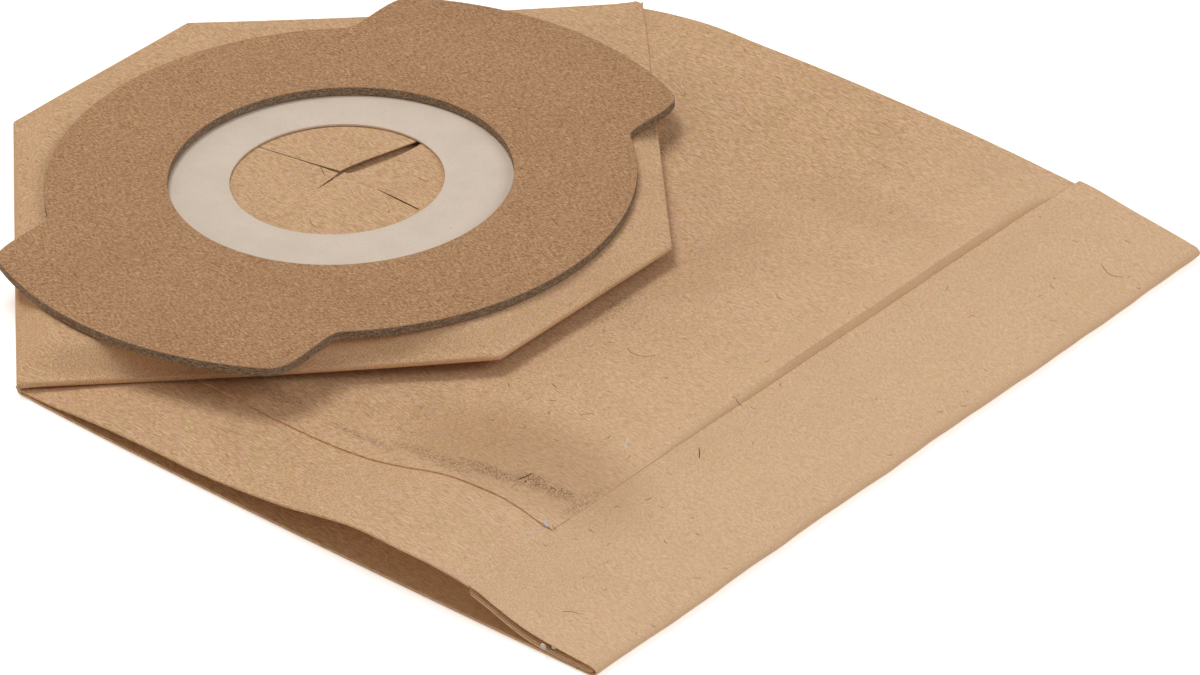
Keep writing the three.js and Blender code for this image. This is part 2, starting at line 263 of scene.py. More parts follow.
def fibres(tree, place, angle, length, width, seed):  # noise drawn out along one direction
    turned = Wire.add(tree, "ShaderNodeMapping", None, {
        "Vector": place, "Rotation": (0, 0, math.radians(angle)), "Location": (seed, seed * 0.7, 0),
        "Scale": (1000 / length, 1000 / width, 1000 / width),
    })
    inputs = {"Vector": turned, "Scale": 1.0, "Detail": 2.0, "Roughness": 0.6}
    return Wire.add(tree, "ShaderNodeTexNoise", None, inputs)


def cloud(tree, place, size, seed, detail=3.0):  # soft blotches of about one size
    moved = Wire.add(tree, "ShaderNodeMapping", None, {
        "Vector": place, "Location": (seed, seed * 1.3, 0), "Scale": (1000 / size,) * 3,
    })
    inputs = {"Vector": moved, "Scale": 1.0, "Detail": detail, "Roughness": 0.55}
    return Wire.add(tree, "ShaderNodeTexNoise", None, inputs)


def finished(tree, shade, rough, lumps, strength, specular):  # a bumped surface as the tree's output
    bump = Wire.add(tree, "ShaderNodeBump", None, {"Strength": strength, "Distance": 1.0, "Height": lumps})
    look = Wire.add(tree, "ShaderNodeBsdfPrincipled", None, {
        "Base Color": shade, "Roughness": rough, "Specular IOR Level": specular, "Normal": bump,
    })
    look.into("ShaderNodeOutputMaterial")


makeCamera()
makeStudio()
makeFloor()
print("studio: camera, lights and floor made")

# The bag is worked out in millimetres: X = 0 at the cross fold, Y = 0 at the tube's near edge.
tube = {
    "width": 227.0,
    "length": 179.0,
    "paper": 0.32,
    "endShift": 10.5,
    "endBend": 1.4,
    "flapLength": 37.0,
    "flapThickness": 1.3,
    "flapPressed": 1.9,
    "flapPress": 7.0,
    "flapBulge": 1.0,
    "flapGap": 0.15,
    "endRoll": 3.0,
    "bends": 10,
    "innerRoll": 1.3,
    "gussetDepth": 22.0,
    "gussetOpen": 9.0,
    "bodyLip": 0.75,
    "flapLip": 0.42,
    "seamPlace": 28.0,
    "seamLap": 12.0,
    "seamStep": 0.32,
    "seamGroove": 0.3,
    "seamAt": [0, 42, 57, 71, 84, 96, 107, 116, 124, 132, 139, 179],
    "seamDrift": [1.0, 0.9, 0.5, -0.15, -0.2, 0.55, 2.3, 3.0, 2.9, 1.7, 0.5, 0.3],
    "driftSide": (4, 70),
    "ridge": 2.0,
    "ridgePlace": 1.3,
    "ridgeWidth": (5.4, 1.1),
    "ridgeFade": (30, 120),
    "looseSide": (20, 4),
    "crownSide": 48.0,
    "stations": [0, 0.06, 0.14, 0.23, 0.34, 0.47, 0.59, 0.68, 0.74, 0.8, 0.89, 1],
    "near": [1.6, 2.3, 3.8, 4.5, 4.8, 7.1, 10.8, 9.9, 9.1, 7.4, 2.2, 1.3],
    "middle": [3.6, 3.2, 2.6, 2.5, 2.8, 4.4, 7.4, 8.0, 8.0, 7.6, 4.4, 1.5],
    "far": [4.3, 6.8, 9.0, 9.6, 10.2, 10.2, 9.8, 9.0, 8.2, 7.2, 3.9, 1.4],
    "ripple": 0.2,
    "rippleSizes": (24.0, 9.0),
    "calmStart": (2, 20),
    "calmEnd": (14, 4),
    "levelRise": (45, 3),
    # soft creases: from x, y, to x, y, height and width
    "creases": [
        (92, 146, 136, 172, 0.35, 5.0), (94, 158, 138, 205, 0.3, 7.0), (60, 185, 128, 214, -0.35, 8.0),
        (98, 96, 134, 84, 0.25, 6.0), (150, 60, 174, 95, 0.25, 6.0), (152, 150, 176, 132, 0.25, 7.0),
    ],
}

block = {
    "depth": 85.5,
    "side": 63.0,
    "drop": 2.1,
    "thickness": 1.6,
    "tipReach": 1.2,
    "tipDepth": 0.4,
    "tipNear": 4.5,
    "tipFar": 6.0,
    "front": 10.0,
    "back": 3.8,
    "sag": 0.8,
    "backBulge": 3.0,
    "droop": 8.0,
    "blend": 4.0,
    "frontRoll": 0.7,
    "backRoll": 1.9,
    "ripple": 0.12,
    "rippleSize": 13.0,
    "liftRise": (9, 16),
    "nick": [(87.0, 83.2), (87.0, 84.1), (84.2, 83.9)],
}

slit = {
    "centre": (-0.3, 113.8),
    "reach": 27.0,
    "below": 3.0,
    "above": 2.5,
    "steps": 20,
    "ply": 1.85,
    "plyRadius": 33.0,
    # each arm's far end, bow to one side, and its width at shares of its length
    "arms": {
        "far": ((4.6, 141.4), 0.7, [0, 0.1, 0.28, 0.5, 0.7, 0.86, 1], [2.0, 3.1, 3.9, 3.6, 2.8, 1.8, 0.7]),
        "near": ((1.9, 86.0), 0.0, [0, 0.12, 0.26, 0.4, 0.5, 1], [1.8, 1.4, 1.0, 0.3, 0.1, 0.08]),
        "back": ((-26.6, 109.4), 0.0, [0, 0.12, 0.3, 0.45, 1], [0.7, 0.6, 0.4, 0.3, 0.3]),
        "front": ((27.0, 113.2), 0.0, [0, 0.4, 0.5, 0.8, 1], [0.1, 0.1, 0.5, 0.65, 0.4]),
    },
    "lifts": {"farFront": 0.15, "nearFront": 0.7, "farBack": 0.2, "nearBack": 0.0},
}

collar = {
    "place": (3.9, 109.1),
    "seat": 8.4,
    "pitch": math.radians(3),
    "lean": math.radians(1.5),
    "gap": 0.25,
    "lobeHalf": math.radians(30),
    "lobeTurn": math.radians(3.6),
    "nearTurn": math.radians(1.0),
    "stepTurn": math.radians(7.5),
    "outerCorner": 0.42,
    "innerCorner": 0.4,
    "around": 540,
    "radial": 6,
}

sealRing = {"bore": 27.3, "radius": 49.0, "lobe": 49.0, "thickness": 0.6, "edge": 0.12, "shift": (-2.4, 1.0)}
plate = {"bore": 43.8, "radius": 75.0, "lobe": 92.3, "thickness": 2.5, "edge": 0.28, "shift": (0.0, 0.0)}

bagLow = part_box("paper_bag")[0]
middle = tube["width"] / 2 - block["drop"]
corners = (middle - block["side"] / 2, middle + block["side"] / 2)
tips = (-block["tipReach"], tube["width"] + block["tipReach"])
flapStart = tube["length"] - tube["flapLength"]
foldStart = tube["length"] - tube["endRoll"]
shift = (bagLow.x * 1000 + block["depth"], bagLow.y * 1000 + block["tipReach"])


def inFrame(points):  # millimetres of the bag to metres of the frame
    placed = np.array(points, dtype=float)
    placed[:, 0] += shift[0]
    placed[:, 1] += shift[1]
    return placed * 0.001


def smooth(value, low, high):
    share = np.clip((value - low) / (high - low), 0, 1)
    return share * share * (3 - 2 * share)


def through(stations, heights, at):  # smooth curve through given heights
    s, h = np.array(stations, float), np.array(heights, float)
    slope = np.empty_like(h)
    slope[1:-1] = (h[2:] - h[:-2]) / (s[2:] - s[:-2])
    slope[0] = 1.5 * (h[1] - h[0]) / (s[1] - s[0]) - slope[1] / 2
    slope[-1] = 1.5 * (h[-1] - h[-2]) / (s[-1] - s[-2]) - slope[-2] / 2
    at = np.clip(at, s[0], s[-1])
    k = np.clip(np.searchsorted(s, at, side="right") - 1, 0, len(s) - 2)
    width = s[k + 1] - s[k]
    t = (at - s[k]) / width
    return (
        (2 * t**3 - 3 * t**2 + 1) * h[k]
        + (t**3 - 2 * t**2 + t) * width * slope[k]
        + (3 * t**2 - 2 * t**3) * h[k + 1]
        + (t**3 - t**2) * width * slope[k + 1]
    )


def rippled(x, y, size, seed):  # soft uneven waves of about one given size
    xs, ys = np.broadcast_arrays(np.asarray(x, float), np.asarray(y, float))
    flat = [noise.noise(Vector((a / size, b / size, seed))) for a, b in zip(xs.ravel(), ys.ravel())]
    return np.array(flat).reshape(xs.shape)


def creased(x, y):
    total = 0
    for x0, y0, x1, y1, height, width in tube["creases"]:
        long = math.hypot(x1 - x0, y1 - y0)
        ux, uy = (x1 - x0) / long, (y1 - y0) / long
        along = (x - x0) * ux + (y - y0) * uy
        across = (y - y0) * ux - (x - x0) * uy
        ends = smooth(along, -0.2 * long, 0.2 * long) * (1 - smooth(along, 0.8 * long, 1.2 * long))
        total = total + height * ends * np.exp(-((across / width) ** 2))
    return total


def loosened(y):  # the flap stands freer toward the far side
    outer, inner = tube["looseSide"]
    return smooth(y, tube["width"] - outer, tube["width"] - inner)


def frontWall(x, y, underFlap=False):
    x = np.asarray(x, float)
    share = x / tube["length"]
    sides = tube["crownSide"]
    near = 1 - smooth(y, 0, sides)
    far = smooth(y, tube["width"] - sides, tube["width"])
    low, mid, high = (through(tube["stations"], tube[name], share) for name in ("near", "middle", "far"))
    plain = mid + (low - mid) * near + (high - mid) * far
    place = tube["seamPlace"]
    lap = smooth(y, place - 0.03, place + 0.06) * (1 - smooth(y, place + 1, place + tube["seamLap"]))
    groove = np.exp(-(((y - place + 0.08) / 0.07) ** 2))
    fade, end = tube["calmEnd"]
    calm = smooth(x, *tube["calmStart"]) * (1 - smooth(x, tube["length"] - fade, tube["length"] - end))
    broad, fine = tube["rippleSizes"]
    waves = tube["ripple"] * (rippled(x, y, broad, 3.1) + 0.5 * rippled(x, y, fine, 7.7)) + creased(x, y)
    edge = smooth(np.minimum(y, tube["width"] - y), 0, 10)
    total = plain + waves * calm * edge
    if underFlap:
        return total
    # Before the flap the wall swells, and its seam shows.
    past = x - flapStart + tube["ridgePlace"]
    ridge = np.exp(-((past / np.where(past < 0, *tube["ridgeWidth"])) ** 2))
    kept = 1 - loosened(y)
    swell = tube["ridge"] * ridge * smooth(y, *tube["ridgeFade"]) * kept
    early, late = tube["levelRise"]
    level = tube["flapPressed"] * smooth(x, flapStart - early, flapStart - late) * kept
    ended = 1 - smooth(x, flapStart - 0.15, flapStart + 0.25)
    seam = (tube["seamStep"] * lap - tube["seamGroove"] * groove) * smooth(x, 0, 9)
    return total + (swell + level + seam) * ended


def skewed(x, y):
    return y + tube["endShift"] * np.maximum(0, np.asarray(x) / tube["length"]) ** tube["endBend"]


def drifted(x, y):  # the front wall's columns follow the seam
    first, last = tube["driftSide"]
    window = smooth(y, first, tube["seamPlace"] - 2) * (1 - smooth(y, tube["seamPlace"] + 4, last))
    return y + through(tube["seamAt"], tube["seamDrift"], x) * window


def tipShares(y):
    near = np.clip((y - tips[0]) / (corners[0] - tips[0]), 0, 1)
    far = np.clip((tips[1] - y) / (tips[1] - corners[1]), 0, 1)
    return near, far


def reach(y):
    near, far = tipShares(y)
    return block["tipDepth"] + (block["depth"] - block["tipDepth"]) * np.minimum(near, far)


def inset(x, y):  # distance to the block's folded edges, rounded where two of them meet
    slope = math.sqrt(0.5)
    span = block["depth"] - block["tipDepth"]
    lines = [
        block["tipDepth"] + span * (y - tips[0]) / (corners[0] - tips[0]),
        block["tipDepth"] + span * (tips[1] - y) / (tips[1] - corners[1]),
    ]
    ways = [block["depth"] - x, block["depth"] + x]
    for line in lines:
        ways += [(line - x) * slope, (line + x) * slope]
    total = sum(np.exp(-np.maximum(way, -5) / block["blend"]) for way in ways)
    return np.maximum(-block["blend"] * np.log(total), 0)


def edgeHeight(y, straight, bulge=0.0):
    near, far = tipShares(y)
    sag = block["sag"] * 4 * (near * (1 - near) + far * (1 - far))
    low = block["tipNear"] + (straight - block["tipNear"]) * near
    high = block["tipFar"] + (straight - block["tipFar"]) * far
    return np.where(y < middle, low, high) - sag + bulge * smooth(near, 0, 0.25) * smooth(1 - near, 0, 0.35)


def seatPlane(x, y):
    fall = (y - collar["place"][1]) * math.tan(collar["lean"])
    return collar["seat"] + (x - collar["place"][0]) * math.tan(collar["pitch"]) - fall


def pocketFloor(x, y):
    share = np.clip(x / reach(y), 0, 1)
    start = frontWall(np.zeros_like(y), y) + 0.25
    plain = start + (edgeHeight(y, block["front"]) - block["thickness"] - start) * share
    ahead = np.maximum(x, 0)
    unskewed = 2 * y - skewed(ahead, y)
    return np.maximum(plain, frontWall(ahead, unskewed) + 0.12)


def blockTop(x, y):
    share = np.clip(0.5 + x / (2 * reach(y)), 0, 1)
    back, front = edgeHeight(y, block["back"], block["backBulge"]), edgeHeight(y, block["front"])
    edge = back + (front - back) * share
    away = np.hypot(x - collar["place"][0], y - collar["place"][1])
    lift = sealRing["thickness"] + collar["gap"]
    start, full = (sealRing["radius"] + way for way in block["liftRise"])
    seat = seatPlane(x, y) + lift * smooth(away, start, full)
    depth = inset(x, y)
    top = edge + (seat - edge) * smooth(depth, 0, block["droop"])
    waves = block["ripple"] * rippled(x, y, block["rippleSize"], 11.3) * smooth(depth, 1, 8)
    free = smooth(away, plate["lobe"] - 14, plate["lobe"] - 4)
    rest = np.where(x > 0, pocketFloor(x, y) + 0.9, 1.0)
    return np.maximum(top + waves * free, rest)


def flapThick(x, y):
    side = 1 - smooth(np.minimum(y, tube["width"] - y), 0, tube["gussetDepth"])
    along = np.sin(math.pi * np.clip((x - flapStart) / tube["flapLength"], 0, 1)) ** 0.7
    grown = np.maximum(smooth(x, flapStart, flapStart + tube["flapPress"]), loosened(y))
    plain = tube["flapPressed"] + (tube["flapThickness"] - tube["flapPressed"]) * grown
    return plain + tube["flapBulge"] * side * along


def spread(*parts):  # stations from (from, to, steps) parts
    values = [np.linspace(a, b, n, endpoint=False) for a, b, n in parts]
    return np.concatenate(values + [[parts[-1][1]]])


def tubeStations():
    width, seam = tube["width"], tube["seamPlace"]
    lap = np.array([-0.5, -0.22, -0.12, -0.03, 0.06, 0.14, 0.4, 1.2]) + seam
    return np.concatenate([
        spread((0, 1.2, 4), (1.2, seam - 1.6, 10)), lap,
        spread((seam + 3.0, corners[0], 17), (corners[0], corners[1], 28), (corners[1], width - 1.2, 30),
               (width - 1.2, width, 4)),
    ])


def backRows(y, along, flap):  # the floor side, the closed end's fold and the flap's upper face
    zero, bends = np.zeros_like(y), tube["bends"]
    rows = [(zero + x, zero) for x in along]
    top = frontWall(zero + foldStart, y, True) + tube["flapGap"] + flapThick(zero + foldStart, y)
    wave = 1 + 0.16 * rippled(zero, y, 26.0, 5.5) + 0.08 * rippled(zero, y, 8.0, 9.5)
    for k in range(1, bends):
        turn = math.pi * k / bends
        rows.append((foldStart + tube["endRoll"] * math.sin(turn) * wave, top / 2 * (1 - math.cos(turn))))
    for x in flap:
        rows.append((zero + x, frontWall(zero + x, y, True) + tube["flapGap"] + flapThick(zero + x, y)))
    return rows


def frontRows(y, along, flap):  # the front wall, the inside of the fold and the flap's lower face
    zero, bends = np.zeros_like(y), tube["bends"]
    rows = [(zero + x, frontWall(zero + x, y)) for x in along]
    base = frontWall(zero + foldStart, y, True)
    for k in range(1, bends):
        turn = math.pi * k / bends
        height = base + tube["flapGap"] / 2 * (1 - math.cos(turn))
        rows.append((foldStart + tube["innerRoll"] * math.sin(turn) + zero, height))
    for x in flap:
        rows.append((zero + x, frontWall(zero + x, y, True) + tube["flapGap"]))
    return rows


def blockRows(y):  # from the cross fold under the back half, over the top, back to the cross fold
    zero, half = np.zeros_like(y), reach(y)
    rollBack = np.minimum(block["backRoll"], half * 0.4)
    rollFront = np.minimum(block["frontRoll"], half * 0.4)
    rows = [(-(half - rollBack) * share, zero) for share in np.linspace(0, 1, 7)[1:]]
    topBack = blockTop(-(half - rollBack), y)
    for turn in np.linspace(0, math.pi, 8)[1:-1]:
        rows.append((-(half - rollBack) - rollBack * math.sin(turn), topBack / 2 * (1 - math.cos(turn))))
    for share in np.linspace(0, 1, 84):
        x = -(half - rollBack) + (2 * half - rollBack - rollFront) * share
        rows.append((x, blockTop(x, y)))
    topFront, floorFront = blockTop(half - rollFront, y), pocketFloor(half - rollFront, y)
    for turn in np.linspace(0, math.pi, 7)[1:-1]:
        height = floorFront + (topFront - floorFront) / 2 * (1 + math.cos(turn))
        rows.append((half - rollFront * (1 - math.sin(turn)), height))
    for share in np.linspace(1, 0, 20)[:-1] ** 1.3:
        x = (half - rollFront) * share
        rows.append((x, pocketFloor(x, y)))
    for lift in (0.2, 0.05):
        rows.append((zero - 0.15, frontWall(zero, y) + lift))
    return rows


def gussetSection(height, opened, lip):  # shares of the height and depths, lip to lip
    ply = min(0.42, lip / max(height, 0.1))
    lower = [(0.0, 0.0), (0.14 * ply, -0.22), (0.57 * ply, -0.3), (ply, -0.12)]
    for step in (0.04, 0.12, 0.25, 0.42, 0.6, 0.8, 1.0):
        gape = (0.5 - ply) * (1 - step**1.4) * opened
        lower.append((0.496 - gape, tube["gussetDepth"] * step))
    return lower + [(1 - share, depth) for share, depth in lower[::-1]]


def bagMesh():
    y = tubeStations()
    along = spread(
        (0, 4, 3), (4, flapStart - 10, 44), (flapStart - 10, flapStart - 0.15, 10),
        (flapStart - 0.15, flapStart + 0.25, 1), (flapStart + 0.25, flapStart + 8, 6),
        (flapStart + 8, foldStart, 10),
    )
    flap = spread((flapStart, flapStart + 8, 6), (flapStart + 8, foldStart, 10))[::-1]
    outer, inner, hexagon = backRows(y, along, flap), frontRows(y, along, flap), blockRows(y)
    points, faces = [], []

    def addRow(x, ys, z):
        start = len(points)
        points.extend(zip(x, ys, z))
        return start

    def join(a, b, count, flip=False):
        for j in range(count - 1):
            face = (a + j, a + j + 1, b + j + 1, b + j)
            faces.append(face[::-1] if flip else face)

    # One loop of rows round the bag: flap's edge, flap, closed end, back wall, block, front wall, flap.
    starts = [addRow(x, skewed(x, y), z) for x, z in outer[::-1]]
    starts += [addRow(x, y, z) for x, z in hexagon]
    for k, (x, z) in enumerate(inner):
        columns = drifted(x, y) if k < len(along) else y
        starts.append(addRow(x, skewed(x, columns), z))
    for a, b in zip(starts, starts[1:]):
        join(a, b, len(y))
    mouthTop, mouthLow = outer[-1], inner[-1]
    edge = [starts[0]]
    for share in (0.36, 0.64):
        x = mouthTop[0] - 0.1 * math.sin(math.pi * share)
        edge.append(addRow(x, skewed(x, y), mouthTop[1] + (mouthLow[1] - mouthTop[1]) * share))
    edge.append(starts[-1])
    for a, b in zip(edge, edge[1:]):
        join(a, b, len(y), flip=True)

    # The side gussets: a lip, a ply in, a ply out and a lip at each place along the tube.
    count = len(outer)
    gaps = [abs(outer[k + 1][0][0] - outer[k][0][0]) + 0.3 for k in range(count - 1)]
    walked = np.cumsum([0] + gaps)
    for side, inward in ((0, 1.0), (-1, -1.0)):
        rows = []
        for k in range(count):
            low = (outer[k][0][side], outer[k][1][side])
            high = (inner[k][0][side], inner[k][1][side])
            height = math.hypot(high[0] - low[0], high[1] - low[1])
            opened = min(1.0, walked[k] / tube["gussetOpen"]) * min(1.0, (walked[-1] - walked[k]) / 3)
            lip = tube["bodyLip"] if k < len(along) else tube["flapLip"]
            section = gussetSection(height, opened, lip)
            pinched = k in (0, count - 1)  # the gusset is pinched shut at both ends
            start = len(points)
            for i, (share, depth) in enumerate(section):
                at = 0.5 if pinched and 3 < i < len(section) - 4 else share
                x = low[0] + (high[0] - low[0]) * at
                z = low[1] + (high[1] - low[1]) * at
                points.append((x, skewed(x, y[side] + inward * depth), z))
            rows.append((start, len(section)))
        for (a, n), (b, _) in zip(rows, rows[1:]):
            join(a, b, n, flip=inward > 0)

        # The mouth's end and the block's tip close the sides.
        place = 0 if side == 0 else len(y) - 1
        last, number = rows[-1]
        faces.append([row + place for row in edge] + [last + i for i in range(number)][::-1])
        tip = [outer[0], *hexagon, inner[0]]
        ring = [(x[side], y[side], z[side]) for x, z in tip]
        lip = points[rows[0][0]:rows[0][0] + rows[0][1]]
        ring += (lip[:5] + lip[-4:])[::-1][1:-1]
        centreX = sum(p[0] for p in ring) / len(ring)
        centreZ = sum(p[2] for p in ring) / len(ring)
        previous = None
        for share in (0.0, 0.4, 0.75, 1.0):
            out = -inward * block["tipReach"] * share**0.8
            start = len(points)
            for px, py, pz in ring:
                points.append((
                    centreX + (px - centreX) * (1 - share), py + out, centreZ + (pz - centreZ) * (1 - share)
                ))
            if previous is not None:
                for i in range(len(ring)):
                    j = (i + 1) % len(ring)
                    faces.append((previous + i, previous + j, start + j, start + i))
            previous = start
    return points, faces


def armPath(name, share):  # a point on one arm of the cross slit, and the arm's direction
    end, bow, *_ = slit["arms"][name]
    dx, dy = end[0] - slit["centre"][0], end[1] - slit["centre"][1]
    long = math.hypot(dx, dy)
    aside = bow * math.sin(math.pi * max(share, 0.0))
    x = slit["centre"][0] + dx * share + aside * dy / long
    y = slit["centre"][1] + dy * share - aside * dx / long
    return x, y, dx / long, dy / long


def prism(name, outline):  # an upright closed prism that cuts through the block's upper wall
    base = seatPlane(*outline[0])
    points = [(x, y, z) for z in (base - slit["below"], base + slit["above"]) for x, y in outline]
    n = len(outline)
    faces = [tuple(range(n))[::-1], tuple(range(n, 2 * n))]
    faces += [(i, (i + 1) % n, n + (i + 1) % n, n + i) for i in range(n)]
    mesh = bpy.data.meshes.new(name)
    mesh.from_pydata(inFrame(points).tolist(), [], faces)
    tidy = bmesh.new()
    tidy.from_mesh(mesh)
    bmesh.ops.recalc_face_normals(tidy, faces=tidy.faces)
    tidy.to_mesh(mesh)
    tidy.free()
    return asObject(name, mesh)


def slitArm(name):
    stations, widths = slit["arms"][name][2:]
    sides = ([], [])
    for share in np.linspace(-0.004, 1, slit["steps"]):
        x, y, dx, dy = armPath(name, share)
        half = float(through(stations, widths, share)) / 2
        sides[0].append((x - dy * half, y + dx * half))
        sides[1].append((x + dy * half, y - dx * half))
    return prism("slitArm", sides[0] + sides[1][::-1])


def liftPetals(mesh):  # the four petals between the slit's arms stand a little differently
    for vertex in mesh.vertices:
        x, y, z = vertex.co.x * 1000 - shift[0], vertex.co.y * 1000 - shift[1], vertex.co.z * 1000
        dx, dy = x - slit["centre"][0], y - slit["centre"][1]
        away = math.hypot(dx, dy)
        if away > slit["reach"] or z < seatPlane(x, y) - 2.2:
            continue
        arm = "far" if dy > 0 else "near"
        end = slit["arms"][arm][0]
        share = dy / (end[1] - slit["centre"][1])
        front = x > armPath(arm, share)[0]
        arm = "front" if dx > 0 else "back"
        end = slit["arms"][arm][0]
        share = dx / (end[0] - slit["centre"][0])
        far = y > armPath(arm, share)[1]
        lift = slit["lifts"][("far" if far else "near") + ("Front" if front else "Back")]
        vertex.co.z += lift * (1 - away / slit["reach"]) ** 1.2 * 0.001


def makeBag():
    points, faces = bagMesh()
    mesh = bpy.data.meshes.new("bagShell")
    mesh.from_pydata(inFrame(points).tolist(), [], faces)
    shell = bmesh.new()
    shell.from_mesh(mesh)
    bmesh.ops.remove_doubles(shell, verts=shell.verts, dist=0.00002)
    bmesh.ops.dissolve_degenerate(shell, dist=0.000001, edges=shell.edges)
    bmesh.ops.recalc_face_normals(shell, faces=shell.faces)
    shell.to_mesh(mesh)
    shell.free()
    made = asObject("bagShell", mesh)
    wall = made.modifiers.new("wall", "SOLIDIFY")
    wall.thickness = tube["paper"] * 0.001
    wall.offset = -1
    cutters = [slitArm(name) for name in slit["arms"]] + [prism("nick", block["nick"])]
    for cutter in cutters:
        cut = made.modifiers.new("cut", "BOOLEAN")
        cut.operation = "DIFFERENCE"
        cut.solver = "MANIFOLD"
        cut.object = cutter
    made = settled(made, "paperBag")
    for cutter in cutters:
        bpy.data.objects.remove(cutter)
    liftPetals(made.data)

    # An inner ply lies just under the slit.
    ply = bmesh.new()
    ply.from_mesh(made.data)
    disc = bmesh.ops.create_cone(ply, cap_ends=True, segments=64, radius1=1.0, radius2=1.0, depth=0.3)
    for vertex in disc["verts"]:
        x = slit["centre"][0] + vertex.co.x * slit["plyRadius"]
        y = slit["centre"][1] + vertex.co.y * slit["plyRadius"]
        vertex.co = inFrame([(x, y, seatPlane(x, y) - slit["ply"] - 0.15 + vertex.co.z)])[0]
    ply.to_mesh(made.data)
    ply.free()
    made.data.set_sharp_from_angle(angle=math.radians(50))
    return made


kraft = {
    "base": colour(211, 171, 134),
    "warm": colour(226, 171, 146),
    "yellow": colour(208, 178, 112),
    "dark": colour(152, 108, 68),
    "light": colour(246, 212, 176),
    "fibre": colour(118, 80, 46),
    "smudge": colour(80, 58, 40),
    # centre x, y and reach along and across, in millimetres of the bag, and strength
    # dark speckled smudges; the thin one at x 88 beside the block's front edge is painted shade under that
    # edge
    "smudgesAndShade": [
        (78, 38.5, 12, 1.6, 0.52), (97, 41.7, 12, 2.2, 0.585), (107, 40, 8, 3.0, 0.52),
        (114.7, 44, 9, 2.4, 0.845), (125.6, 47.2, 6, 3.0, 0.975), (133.8, 47.7, 5, 2.6, 0.78),
        (140, 48.7, 2.0, 9.0, 0.455), (49.8, 39.1, 9, 2.6, 0.455), (46, 181, 5, 9, 0.52),
        (88, 118, 3, 12, 0.455),
    ],
    # broad darker patches; the one on the near flank at x 116 and the one beside the block's front far
    # corner at x 96 are painted shade, the others darken the paper there
    "stainsAndShade": [
        (116, 54, 36, 17, 0.34), (20, 40, 24, 12, 0.12), (108, 190, 26, 9, 0.1), (96, 150, 14, 22, 0.1),
    ],
    # sizes in millimetres, and an angle and a seed for each layer of fibres
    "curl": (6.0, 1.2),
    "fibreSize": (2.6, 0.15),
    "fibreTurns": ((12, 0.0), (74, 5.0), (128, 11.0)),
    "thinSize": (1.9, 0.16),
    "thinTurns": ((25, 31.0), (95, 37.0), (150, 43.0)),
    # painted light: the paper is mixed paler from one place along the bag to another, up to a share, so the
    # flap toward the closed end reads as more brightly lit
    "fade": (70, 170, 0.34),
    # relief in metres of the grain, the fibres and the soft lumps
    "relief": (0.00003, 0.00005, 0.00012),
}


def ovalSpot(x, y, spot, core, edge):  # 1 in the middle of a spot on the bag, 0 outside it
    cx, cy, along, across = spot[:4]
    dx = (x - (cx + shift[0])) / along
    dy = (y - (cy + shift[1])) / across
    return 1.0 - (dx * dx + dy * dy).step(core, edge)


def kraftMaterial():
    made, tree = material("kraftPaper")
    place = Wire.add(tree, "ShaderNodeTexCoord", output="Object")
    curly = swirled(tree, place, *kraft["curl"], 1.0)
    layers = [fibres(tree, curly, angle, *kraft["fibreSize"], seed) for angle, seed in kraft["fibreTurns"]]
    weave = (layers[0] + layers[1] + layers[2]) * (1 / 3)
    shade = mixed(tree, weave.step(0.43, 0.57), kraft["dark"], kraft["light"])
    shade = mixed(tree, 0.85, kraft["base"], shade)
    tint = cloud(tree, curly, 0.9, 3.0, 2.0).step(0.42, 0.58)
    shade = mixed(tree, 0.42, shade, mixed(tree, tint, kraft["yellow"], kraft["warm"]))
    patches = cloud(tree, place, 14.0, 8.0)
    shade = mixed(tree, patches.step(0.35, 0.75) * 0.1, shade, kraft["dark"])
    pale = fibres(tree, curly, 40, 2.0, 0.16, 21.0).step(0.62, 0.72)
    shade = mixed(tree, pale * 0.5, shade, kraft["light"])
    for angle, seed in kraft["thinTurns"]:
        thin = fibres(tree, curly, angle, *kraft["thinSize"], seed).step(0.66, 0.72)
        shade = mixed(tree, thin * 0.6, shade, kraft["fibre"])
    split = {"Vector": place}
    x = Wire.add(tree, "ShaderNodeSeparateXYZ", None, split, 0) * 1000.0
    y = Wire.add(tree, "ShaderNodeSeparateXYZ", None, split, 1) * 1000.0
    # painted light: paler toward the closed end, standing in for the flap catching more light
    start, end, share = kraft["fade"]
    shade = mixed(tree, x.step(shift[0] + start, shift[0] + end) * share, shade, kraft["light"])
    grains = cloud(tree, place, 0.4, 51.0, 2.0).step(0.48, 0.6)
    # dark speckled smudges, one of them painted shade beside the block's front edge
    for spot in kraft["smudgesAndShade"]:
        shade = mixed(tree, ovalSpot(x, y, spot, 0.1, 1.5) * grains * spot[4], shade, kraft["smudge"])
    # broad darker patches, two of them painted shade: on the near flank and beside the block's front far
    # corner
    for spot in kraft["stainsAndShade"]:
        shade = mixed(tree, ovalSpot(x, y, spot, 0.0, 1.6) * spot[4], shade, kraft["dark"])
    grain = cloud(tree, place, 0.45, 61.0, 3.0)
    crease = cloud(tree, place, 6.0, 67.0, 4.0)
    grainRelief, fibreRelief, creaseRelief = kraft["relief"]
    lumps = grain * grainRelief + weave * fibreRelief + crease * creaseRelief
    finished(tree, shade, weave * 0.15 + 0.78, lumps, strength=0.5, specular=0.25)
    return made


def upwardPart(tree):  # how far a face looks up, from -1 to 1
    normal = Wire.add(tree, "GeometryNodeInputNormal")
    return Wire.add(tree, "ShaderNodeSeparateXYZ", None, {"Vector": normal}, 2)


